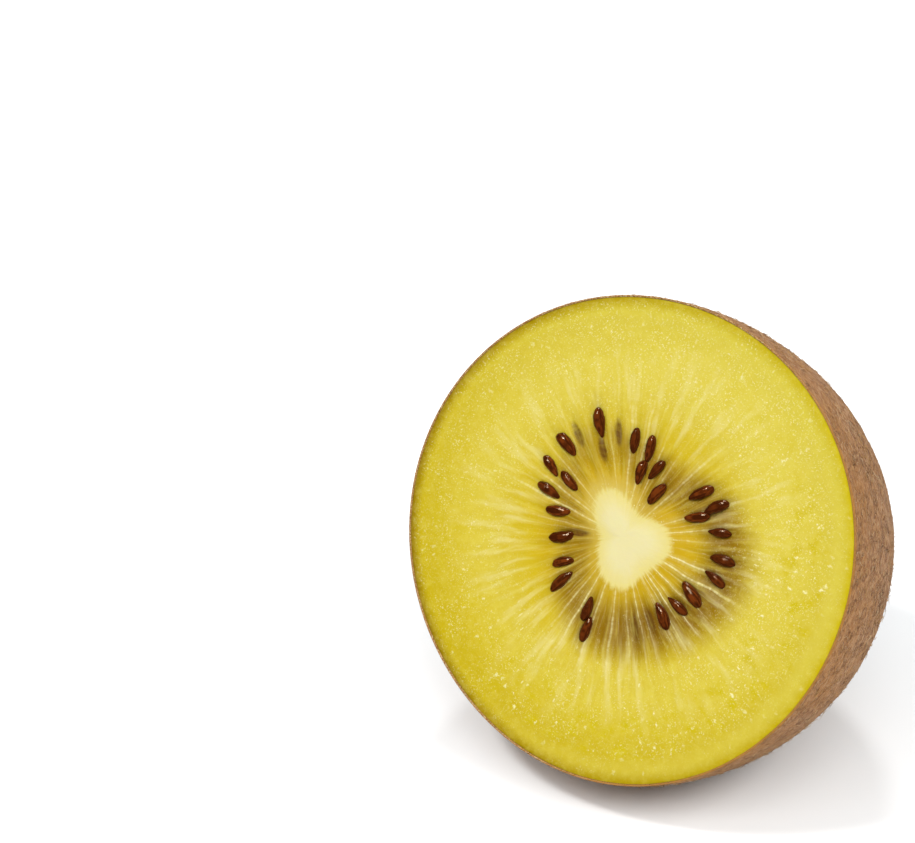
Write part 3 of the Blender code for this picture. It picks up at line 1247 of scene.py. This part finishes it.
@dataclass(frozen=True)
class Flesh:
    """The flesh with its core: one body, its cut face in fine relief."""

    form: FruitForm
    rule: SeedRule
    skin_edge: float = 0.24 * MM
    segments: int = 512
    side_rows: int = 14
    core_rings: int = 8
    seed_rings: int = 108
    outer_rings: int = 34
    seed_zone: tuple[float, float] = (0.11, 0.64)
    swell: float = 0.07 * MM
    graininess: float = 0.018 * MM
    pocket_depth: float = 0.13 * MM
    core_rise: float = 0.12 * MM
    groove_depth: float = 0.05 * MM
    seat_depth: float = 0.12 * MM
    seat_stretch: float = 1.12
    rim_drop: float = 0.05 * MM

    def rings(self) -> np.ndarray:
        """Space the cut face's rings, closest together among the seeds.

        Returns:
            Shares of the face's radius.
        """
        low, high = self.seed_zone
        core = np.linspace(0.02, low, self.core_rings, endpoint=False)
        seeds = np.linspace(low, high, self.seed_rings, endpoint=False)
        return np.concatenate((core, seeds, np.linspace(high, 0.9985, self.outer_rings)))

    def footprint(
        self, points: np.ndarray, seed: Seed, longer: float, wider: float = 1.0
    ) -> np.ndarray:
        """Distance from a seed's middle in units of its half length and half width.

        Args:
            points: Points of the cut face, coordinates on the last axis.
            seed: The seed.
            longer: The footprint's length as a share of the seed's.
            wider: The footprint's width as a share of the seed's.

        Returns:
            1 on the footprint's edge, less inside.
        """
        x = points[..., 0] - seed.radius * math.cos(seed.angle)
        y = points[..., 1] - seed.radius * math.sin(seed.angle)
        ahead = x * math.cos(seed.turn) + y * math.sin(seed.turn)
        aside = y * math.cos(seed.turn) - x * math.sin(seed.turn)
        length = 0.5 * seed.size * self.rule.length * longer
        return np.hypot(ahead / length, aside / (0.5 * seed.size * self.rule.width * wider))

    def relief(self, points: np.ndarray, angle: np.ndarray) -> np.ndarray:
        """Height of the cut face above its plane.

        Args:
            points: Points of the plane.
            angle: Their angles.

        Returns:
            One height a point.
        """
        form = self.form
        radius = np.hypot(points[..., 0], points[..., 1])
        flat = points.reshape(-1, 3)
        height = self.swell * grain(flat, 7 * MM)
        height += self.graininess * grain(flat + 0.05, 0.9 * MM, 2)
        height = height.reshape(radius.shape)
        from_core = radius - form.lobed(form.core_radius, form.core_lobes, angle)
        from_ring = radius - form.lobed(form.ring_radius, form.ring_lobes, angle)
        turns = (angle - self.rule.first_chamber) * len(self.rule.chambers)
        pocket = (0.5 + 0.5 * np.cos(turns)) ** 1.5 * ramp_up(from_core, 1 * MM, 3 * MM)
        pocket *= 1 - ramp_up(from_ring, 1.5 * MM, 5 * MM)
        height -= self.pocket_depth * pocket
        height += self.core_rise * (1 - ramp_up(from_core, -3 * MM, 0.5 * MM))
        for seed in self.rule.standing():
            near = self.footprint(points, seed, self.seat_stretch)
            height -= self.groove_depth * np.exp(-(((near - 1.0) / 0.3) ** 2))
            height -= self.seat_depth * (near < 0.95)
        rim = form.lobed(form.radius, form.outline_lobes, angle) - self.skin_edge
        height -= self.rim_drop * (1 - ramp_up(rim - radius, 0, 0.6 * MM)) ** 2
        return height

    def build(self) -> bpy.types.Object:
        """Model and dress the flesh.

        Returns:
            The piece.
        """
        form = self.form
        angle = full_turn(self.segments)
        rim = form.lobed(form.radius, form.outline_lobes, angle) - self.skin_edge
        shares, round_it = np.meshgrid(self.rings(), angle, indexing="ij")
        reach = shares * rim
        face = np.stack((reach * np.cos(round_it), reach * np.sin(round_it), 0 * reach), -1)
        face[..., 2] = self.relief(face, round_it)
        shell = Shell()
        face_rings = shell.add(face)
        along = np.sin(np.pi / 2 * np.arange(self.side_rows + 1) / (self.side_rows + 1))
        along[0] = 0.002
        rows, cols = np.meshgrid(along, angle, indexing="ij")
        side = form.surface(cols, rows, self.skin_edge)
        side_rings = shell.add(lift_off_floor(side, form.pose, self.skin_edge))
        shell.tube(np.concatenate((face_rings, side_rings)))
        shell.cap(face_rings[0], np.array([0, 0, self.core_rise]))
        shell.cap(side_rings[-1], form.surface(0.0, 1.0, self.skin_edge), flipped=True)
        mesh = shell.mesh("flesh")
        self.mark(mesh, np.concatenate(shell.points))
        finish = FleshFinish(form, self.rule).material()
        return set_piece("flesh", mesh, finish, form.pose, ("flesh", "core"))

    def mark(self, mesh: bpy.types.Mesh, points: np.ndarray) -> None:
        """Store how near each point is to a seed, and to a sunken one.

        Args:
            mesh: The flesh's mesh.
            points: Its points.
        """
        halo, sunken = np.zeros(len(points)), np.zeros(len(points))
        for seed in self.rule.standing():
            near = self.footprint(points, seed, 1.5, 1.7)
            halo = np.maximum(halo, np.exp(-((near / 1.15) ** 2.4)))
        for seed in self.rule.sunken():
            near = self.footprint(points, seed, 1.7, 2.0)
            halo = np.maximum(halo, 0.8 * np.exp(-(near**2.2)))
            near = self.footprint(points, seed, 1.15, 0.75)
            sunken = np.maximum(sunken, 1 - ramp_up(near, 0.55, 1.25))
        on_face = points[:, 2] > -0.5 * MM
        store(mesh, "halo", halo * on_face)
        store(mesh, "sunken", sunken * on_face)


@dataclass(frozen=True)
class Skin:
    """The peel: a thin shell with a leathery relief."""

    form: FruitForm
    thickness: float = 0.22 * MM
    segments: int = 320
    rows: int = 150
    inner_rows: int = 10
    swell: float = 0.10 * MM
    leather: float = 0.045 * MM
    scab_height: float = 0.16 * MM
    lip_height: float = 0.05 * MM

    def outside(self, angle: np.ndarray) -> np.ndarray:
        """The outer surface, scabbed round the stem scar.

        Args:
            angle: Angles round the axis.

        Returns:
            Its points, a row for each ring.
        """
        form = self.form
        rows, cols = np.meshgrid(stations(self.rows), angle, indexing="ij")
        smooth = form.surface(cols, rows)
        flat = smooth.reshape(-1, 3)
        height = self.swell * grain(flat, 9 * MM) + self.leather * grain(flat, 1.6 * MM)
        height = height.reshape(rows.shape) * ramp_up(rows, 0.0, 0.03)
        girth = np.hypot(smooth[..., 0], smooth[..., 1])
        scabs = ramp_up(rows, 0.7, 0.9) * (1 - ramp_up(girth, 6.0 * MM, 11.0 * MM))
        scabs *= ramp_up(girth, 3.0 * MM, 5.0 * MM)
        height += self.scab_height * scabs * grain(flat, 1.1 * MM).reshape(rows.shape)
        rough = smooth + form.normal(cols, np.clip(rows, 1e-4, 0.9995)) * height[..., None]
        return lift_off_floor(rough, form.pose, 0.0)

    def build(self) -> bpy.types.Object:
        """Model and dress the peel.

        Returns:
            The piece.
        """
        form = self.form
        angle = full_turn(self.segments)
        rows, cols = np.meshgrid(stations(self.inner_rows), angle, indexing="ij")
        inner = form.surface(cols, rows, self.thickness)
        lip = form.surface(angle, 0.0 * angle, self.thickness / 2)[None]
        lip[..., 2] += self.lip_height
        shell = Shell()
        inner_rings = shell.add(lift_off_floor(inner, form.pose, self.thickness))
        lip_ring = shell.add(lip)
        outer_rings = shell.add(self.outside(angle))
        shell.tube(np.concatenate((inner_rings[::-1], lip_ring, outer_rings)))
        shell.cap(inner_rings[-1], form.surface(0.0, 1.0, self.thickness))
        shell.cap(outer_rings[-1], form.surface(0.0, 1.0), flipped=True)
        finish = SkinFinish(form.pose).material()
        return set_piece("skin", shell.mesh("skin"), finish, form.pose, ("skin",))


@dataclass(frozen=True)
class Seeds:
    """The seeds that stand out of the cut face."""

    rule: SeedRule
    around: int = 20
    rings: int = 18
    stretch: float = 1.14
    wrinkle: float = 0.09
    wrinkle_size: float = 0.8 * MM
    random_seed: int = 31

    def build(self) -> bpy.types.Object:
        """Model and dress the seeds.

        Returns:
            The piece.
        """
        draw = random.Random(self.random_seed)
        shell = Shell()
        marks: dict[str, list[float]] = {"tone": [], "lengthwise": [], "girth": []}
        tilt = np.linspace(0, math.pi, self.rings + 2)[1:-1]
        down, round_it = np.meshgrid(tilt, full_turn(self.around), indexing="ij")
        tip = np.array([0.5 * self.stretch * self.rule.length, 0, 0])
        for seed in self.rule.standing():
            rings = shell.add(self.placed(self.coat(draw, down, round_it), seed))
            shell.tube(rings)
            shell.cap(rings[0], self.placed(tip, seed))
            shell.cap(rings[-1], self.placed(-tip, seed), flipped=True)
            marks["tone"] += [draw.random()] * (rings.size + 2)
            marks["lengthwise"] += [*np.cos(down).ravel(), 1.0, -1.0]
            marks["girth"] += [*np.sin(round_it).ravel(), 0.0, 0.0]
        mesh = shell.mesh("seeds")
        for name, values in marks.items():
            store(mesh, name, np.array(values))
        pose = self.rule.form.pose
        return set_piece("seeds", mesh, SeedFinish(pose).material(), pose)

    def coat(
        self, draw: random.Random, down: np.ndarray, round_it: np.ndarray
    ) -> np.ndarray:
        """One seed's body along +X, a little different each time.

        Args:
            draw: The random draw.
            down: The angle from its blunt end, a row for each ring.
            round_it: The angle round its length.

        Returns:
            Its points, in rings.
        """
        rule, lengthwise = self.rule, np.cos(down)
        blunt = 1 - np.abs(lengthwise) ** draw.uniform(2.3, 3.3)
        taper = 1 - draw.uniform(0.1, 0.5) * ramp_up(-lengthwise, -0.2, 1.0)
        width = blunt**0.5 * taper * (1 + 0.08 * draw.uniform(-1, 1))
        bow = 0.12 * rule.width * draw.uniform(-1, 1) * (1 - lengthwise**2)
        x = 0.5 * self.stretch * rule.length * lengthwise
        y = 0.5 * rule.width * width * np.cos(round_it) + bow
        body = np.stack((x, y, 0.5 * rule.height * width * np.sin(round_it)), -1)
        wrinkle = grain(body.reshape(-1, 3) + 10 * draw.random(), self.wrinkle_size, 2)
        return body * (1 + self.wrinkle * wrinkle.reshape(down.shape)[..., None])

    def placed(self, points: np.ndarray, seed: Seed) -> np.ndarray:
        """Move points of one seed to its place in the cut face.

        Args:
            points: Points round the seed's middle.
            seed: The seed.

        Returns:
            The points in the fruit's frame.
        """
        cos, sin = math.cos(seed.turn), math.sin(seed.turn)
        x, y, z = np.moveaxis(points * seed.size, -1, 0)
        across = seed.radius * math.cos(seed.angle) + x * cos - y * sin
        up = seed.radius * math.sin(seed.angle) + x * sin + y * cos
        return np.stack((across, up, z - self.rule.sunk), -1)


class Coat(Enum):
    """The kinds of hair on the skin."""

    FELT = "felt"
    CURLS = "curls"
    BRISTLES = "bristles"


@dataclass(frozen=True)
class Hairs:
    """One kind of hair, each a thin three-sided tapering thread."""

    form: FruitForm
    coat: Coat
    count: int
    reach: tuple[float, float]
    thickness: float
    lift: tuple[float, float]
    curl: float
    random_seed: int
    joints: int = 3
    sides: int = 3
    root_sink: float = 0.08 * MM
    root_gap: float = 0.12 * MM
    floor_gap: float = 0.06 * MM
    cut_gap: float = 0.12 * MM
    scar_radius: float = 6.0 * MM
    stubble_side: float = math.radians(-45)
    stubble_spread: float = math.radians(40)

    def roots(self, draw: np.random.Generator) -> tuple[np.ndarray, np.ndarray]:
        """Spread the roots evenly over the skin's area, or gather them below.

        Args:
            draw: The random draw.

        Returns:
            Their angles, and their shares of the way to the stem end.
        """
        share = np.linspace(0.008, 0.999, 600)
        path = self.form.surface(0.0 * share, share)
        steps = np.linalg.norm(np.diff(path, axis=0), axis=1)
        area = steps * np.hypot(path[1:, 0], path[1:, 1])
        total = np.concatenate(([0.0], np.cumsum(area)))
        along = np.interp(draw.random(self.count) * total[-1], total, share)
        if self.coat is Coat.BRISTLES:
            return draw.normal(self.stubble_side, self.stubble_spread, self.count), along
        return draw.random(self.count) * 2 * math.pi, along

    def clear(self, root: np.ndarray) -> np.ndarray:
        """Find the roots that stand clear of the floor and of the stem scar.

        Args:
            root: The roots.

        Returns:
            True for each that does.
        """
        turn = np.array(self.form.pose.to_3x3())
        height = (root @ turn.T + np.array(self.form.pose.translation))[:, 2]
        scar = np.hypot(root[:, 0], root[:, 1]) < self.scar_radius
        behind = root[:, 2] < -0.5 * self.form.half_length
        return (height > self.root_gap) & ~(scar & behind)

    def build(self) -> bpy.types.Object:
        """Grow the hairs and dress them.

        Returns:
            The piece.
        """
        draw = np.random.default_rng(self.random_seed)
        angle, along = self.roots(draw)
        keep = self.clear(self.form.surface(angle, along))
        root = self.form.surface(angle[keep], along[keep])
        up = self.form.normal(angle, along)[keep]
        count = len(root)
        side = unit(np.cross(up, np.array([0.0, 0.0, 1.0])))
        back = np.cross(up, side)
        heading = draw.normal(0.0, 0.9, count) + math.pi * draw.integers(0, 2, count)
        length = draw.uniform(*self.reach, count)
        lift = draw.uniform(*self.lift, count)
        bend = draw.normal(0.0, self.curl, count)
        path = [root - up * self.root_sink]
        for joint in range(self.joints):
            flat = np.cos(heading)[:, None] * side + np.sin(heading)[:, None] * back
            rise = (lift * (1 - 0.9 * joint / self.joints))[:, None]
            ahead = flat * np.cos(rise) + up * np.sin(rise)
            path.append(path[-1] + ahead * (length / self.joints)[:, None])
            heading = heading + bend
        mesh = self.threads(np.stack(path, 1), up, draw.random(count))
        pose = self.form.pose
        return set_piece(mesh.name, mesh, HairFinish(pose).material(), pose)

    def threads(
        self, paths: np.ndarray, up: np.ndarray, tone: np.ndarray
    ) -> bpy.types.Mesh:
        """Turn paths into tapering threads.

        Args:
            paths: The points of each hair, from its root.
            up: The skin's normal at each root.
            tone: Each hair's tone.

        Returns:
            One mesh that holds them all.
        """
        count, stops = paths.shape[:2]
        paths[..., 2] = np.minimum(paths[..., 2], -self.cut_gap)
        paths = lift_off_floor(paths, self.form.pose, self.floor_gap)
        ahead = unit(np.gradient(paths, axis=1))
        aside = unit(np.cross(ahead, up[:, None, :]))
        above = np.cross(ahead, aside)
        share = np.linspace(0, 1, stops)
        radius = self.thickness / 2 * (1 - 0.75 * share)
        corner = full_turn(self.sides)[:, None]
        ring = np.cos(corner) * aside[:, :, None] + np.sin(corner) * above[:, :, None]
        body = (paths[:, :, None] + ring * radius[None, :, None, None])[:, :-1]

        per_hair = (stops - 1) * self.sides
        first = per_hair * np.arange(count)[:, None]
        low = np.arange(self.sides)
        after = np.roll(low, -1)
        strip = np.stack((low, after, self.sides + after, self.sides + low), -1)
        strips = [strip + self.sides * stop for stop in range(stops - 2)]
        faces = (first[:, :, None] + np.concatenate(strips)).reshape(-1, 4).tolist()
        last = first + per_hair - self.sides
        tips = np.broadcast_to(count * per_hair + np.arange(count)[:, None], (count, self.sides))
        faces += np.stack((last + low, last + after, tips), -1).reshape(-1, 3).tolist()
        faces += (first + low[::-1]).tolist()

        mesh = bpy.data.meshes.new(f"hair_{self.coat.value}")
        points = np.concatenate((body.reshape(-1, 3), paths[:, -1]))
        mesh.from_pydata(points.tolist(), [], faces)
        mesh.shade_smooth()
        store(mesh, "tone", np.concatenate((np.repeat(tone, per_hair), tone)))
        stations_up = np.tile(np.repeat(share[:-1], self.sides), count)
        store(mesh, "along", np.concatenate((stations_up, np.ones(count))))
        return mesh


@dataclass(frozen=True)
class StemScar:
    """The woody scar of the stalk, seated in the dimple."""

    form: FruitForm
    radius: float = 5.4 * MM
    rim_radius: float = 4.4 * MM
    rim_height: float = 1.35 * MM
    rim_width: float = 0.62 * MM
    disc_height: float = 0.85 * MM
    fibre_height: float = 0.16 * MM
    ragged_height: float = 0.08 * MM
    sink: float = 0.25 * MM
    base_depth: float = 0.2 * MM
    share_x: float = 0.88
    wobble: float = 0.05
    segments: int = 256
    rings: int = 72
    under_rings: int = 4

    def wood(
        self, share: np.ndarray, round_it: np.ndarray, radius: np.ndarray
    ) -> tuple[np.ndarray, np.ndarray]:
        """The height of the ragged, split rim and of the disc inside it.

        Args:
            share: Shares of the scar's radius.
            round_it: Angles round the axis.
            radius: Distances from the axis.

        Returns:
            The height of each point above the dimple, and how hollow it is.
        """
        spoke = np.stack((np.cos(round_it), np.sin(round_it), 0 * share), -1).reshape(-1, 3)
        out = share.reshape(-1, 1)
        ragged = grain(spoke, 0.45, 3).reshape(share.shape)
        fibres = grain(spoke + out * 0.8, 0.09, 2).reshape(share.shape)
        splits = grain(spoke * (1 + 0.1 * out) + 4.0, 0.16, 2).reshape(share.shape)
        splits = ramp_up(np.abs(splits), 0.0, 0.16)
        from_rim = radius - self.rim_radius * (1 + 0.10 * ragged)
        rim = np.exp(-((from_rim / (self.rim_width * (0.95 + 0.5 * ragged))) ** 2))
        rim *= self.rim_height * (1 + 0.5 * ragged) * (0.45 + 0.55 * splits)
        disc = self.disc_height * (1 - ramp_up(share, 0.42, 0.66))
        disc *= 1 - 0.45 * np.exp(-((share / 0.16) ** 2))
        rough = self.fibre_height * fibres + self.ragged_height * ragged
        height = np.maximum(disc, rim) + rough * ramp_up(share, 0.05, 0.2)
        hollow = 1 - ramp_up(height, 0.15 * MM, 0.55 * MM)
        return height, np.maximum(hollow, (1 - splits) * ramp_up(share, 0.3, 0.7) * 0.9)

    def build(self) -> bpy.types.Object:
        """Model and dress the scar.

        Returns:
            The piece.
        """
        shares = np.linspace(0.02, 1.0, self.rings)
        share, round_it = np.meshgrid(shares, full_turn(self.segments), indexing="ij")
        radius = share * self.radius * (1 + self.wobble * np.cos(3 * round_it) * share)
        height, hollow = self.wood(share, round_it, radius)
        x, y = radius * np.cos(round_it) * self.share_x, radius * np.sin(round_it)
        base = self.dimple(np.hypot(x, y))
        top = base - height + self.sink * ramp_up(share, 0.86, 1.0)
        under = np.stack((x, y, base + self.base_depth), -1)
        shell = Shell()
        top_rings = shell.add(np.stack((x, y, top), -1))
        low_rings = shell.add(under[:: -self.rings // self.under_rings])
        shell.tube(np.concatenate((top_rings, low_rings)), flipped=True)
        middle = np.array([0, 0, self.dimple(0.0)])
        lift = np.array([0, 0, 0.5 * self.disc_height])
        shell.cap(top_rings[0], middle - lift, flipped=True)
        shell.cap(low_rings[-1], middle + np.array([0, 0, self.base_depth]))
        mesh = shell.mesh("stem_scar")
        store(mesh, "hollow", np.array([*hollow.ravel(), *np.ones(low_rings.size), 0.0, 1.0]))
        pose = self.form.pose
        finish = ScarFinish(pose).material()
        return set_piece("stem_scar", mesh, finish, pose, ("stem_scar",))

    def dimple(self, radius: Values) -> Values:
        """The skin's surface under the scar.

        Args:
            radius: Distance or distances from the axis.

        Returns:
            Its height along the axis.
        """
        form = self.form
        share = np.minimum(1.0, radius / form.radius)
        along = (1 - share**form.end_power) ** (1 / form.shoulder_power)
        hollow = form.dimple_depth * (1 - ramp_up(radius, 0, form.dimple_radius))
        return hollow - form.half_length * along


# --------------------------------------------------------------------------- studio


@dataclass(frozen=True)
class Lamp:
    """Light from one side of the room, as wide as a window or a white wall."""

    name: str
    azimuth: float
    elevation: float
    spread: float
    strength: float
    glints: bool = False

    def build(self) -> bpy.types.Object:
        """Hang the lamp.

        Returns:
            Its object.
        """
        lamp = bpy.data.lights.new(self.name, "SUN")
        lamp.angle = math.radians(self.spread)
        lamp.energy = self.strength
        made = bpy.data.objects.new(self.name, lamp)
        made.visible_glossy = self.glints
        bpy.context.scene.collection.objects.link(made)
        away = compass(math.radians(self.azimuth), math.radians(self.elevation))
        made.location = away
        made.rotation_euler = away.to_track_quat("Z", "Y").to_euler()
        return made


def compass(azimuth: float, elevation: float) -> Vector:
    """The direction towards a point seen from the fruit.

    Args:
        azimuth: Its angle round from -Y.
        elevation: Its angle above the floor.

    Returns:
        The unit vector.
    """
    level = math.cos(elevation)
    return Vector(
        (math.sin(azimuth) * level, -math.cos(azimuth) * level, math.sin(elevation))
    )


@dataclass(frozen=True)
class Studio:
    """Floor, lamps, surrounding light and camera."""

    form: FruitForm
    lamps: tuple[Lamp, ...] = (
        Lamp("key", -32, 57, 10, 1.5, True),
        Lamp("left", -8, 40, 30, 0.8),
        Lamp("right", 86, 44, 30, 1.6),
        Lamp("near", 34, 50, 30, 1.15),
        Lamp("top", 214, 63, 9, 0.7, True),
    )
    sky: float = 0.34
    sky_colour: Colour = (0.98, 1.0, 1.02)
    floor_size: float = 3.0
    azimuth: float = math.radians(34.33)
    elevation: float = math.radians(26.93)
    lens: float = 110.0
    face_from_camera: tuple[float, float, float] = (18.35 * MM, -12.86 * MM, 310.7 * MM)

    def build(self) -> None:
        """Set up the stage round the fruit."""
        self.floor()
        for lamp in self.lamps:
            lamp.build()
        self.surroundings()
        self.camera(self.form.pose.translation)

    def floor(self) -> None:
        """A large plain sheet under the fruit."""
        half = self.floor_size / 2
        mesh = bpy.data.meshes.new("floor")
        corners = [(-half, -half, 0), (half, -half, 0), (half, half, 0), (-half, half, 0)]
        mesh.from_pydata(corners, [], [(0, 1, 2, 3)])
        mesh.materials.append(FloorFinish(self.form.pose).material())
        sheet = bpy.data.objects.new("floor", mesh)
        sheet.visible_glossy = False
        bpy.context.scene.collection.objects.link(sheet)

    def surroundings(self) -> None:
        """Even white light from all round."""
        world = bpy.data.worlds.new("studio")
        world.use_nodes = True
        light = world.node_tree.nodes["Background"]
        light.inputs["Color"].default_value = (*self.sky_colour, 1.0)
        light.inputs["Strength"].default_value = self.sky
        bpy.context.scene.world = world
        world.cycles_visibility.glossy = False
        bpy.context.scene.view_settings.view_transform = "Standard"

    def camera(self, face: Vector) -> None:
        """Aim the camera so that the cut face lies right of the middle.

        Args:
            face: The middle of the cut face.
        """
        right = Vector((math.cos(self.azimuth), math.sin(self.azimuth), 0))
        back = compass(self.azimuth, self.elevation)
        up = back.cross(right)
        across, above, away = self.face_from_camera
        lens = bpy.data.cameras.new("camera")
        lens.lens = self.lens
        lens.sensor_width = 36.0
        lens.clip_start = 0.01
        made = bpy.data.objects.new("camera", lens)
        bpy.context.scene.collection.objects.link(made)
        place = face - across * right - above * up + away * back
        turn = Matrix((right, up, back)).transposed().to_4x4()
        made.matrix_world = Matrix.Translation(place) @ turn
        bpy.context.scene.camera = made


def main() -> None:
    """Build every piece in order."""
    logging.basicConfig(level=logging.INFO, format="%(name)s: %(message)s")
    form = FruitForm(fruit_pose(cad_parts["skin"], FACE_ELEVATION))
    rule = SeedRule(form)
    Skin(form).build()
    Flesh(form, rule).build()
    Seeds(rule).build()
    StemScar(form).build()
    felt = Hairs(
        form,
        Coat.FELT,
        count=9600,
        reach=(0.35 * MM, 0.9 * MM),
        thickness=0.06 * MM,
        lift=(0.03, 0.25),
        curl=0.6,
        random_seed=11,
    )
    curls = Hairs(
        form,
        Coat.CURLS,
        count=7400,
        reach=(0.8 * MM, 1.7 * MM),
        thickness=0.07 * MM,
        lift=(0.05, 0.4),
        curl=0.9,
        random_seed=12,
        joints=4,
    )
    bristles = Hairs(
        form,
        Coat.BRISTLES,
        count=260,
        reach=(0.2 * MM, 0.5 * MM),
        thickness=0.16 * MM,
        lift=(0.6, 1.3),
        curl=0.2,
        random_seed=13,
    )
    for coat in (felt, curls, bristles):
        coat.build()
    Studio(form).build()


if __name__ == "__main__":
    main()
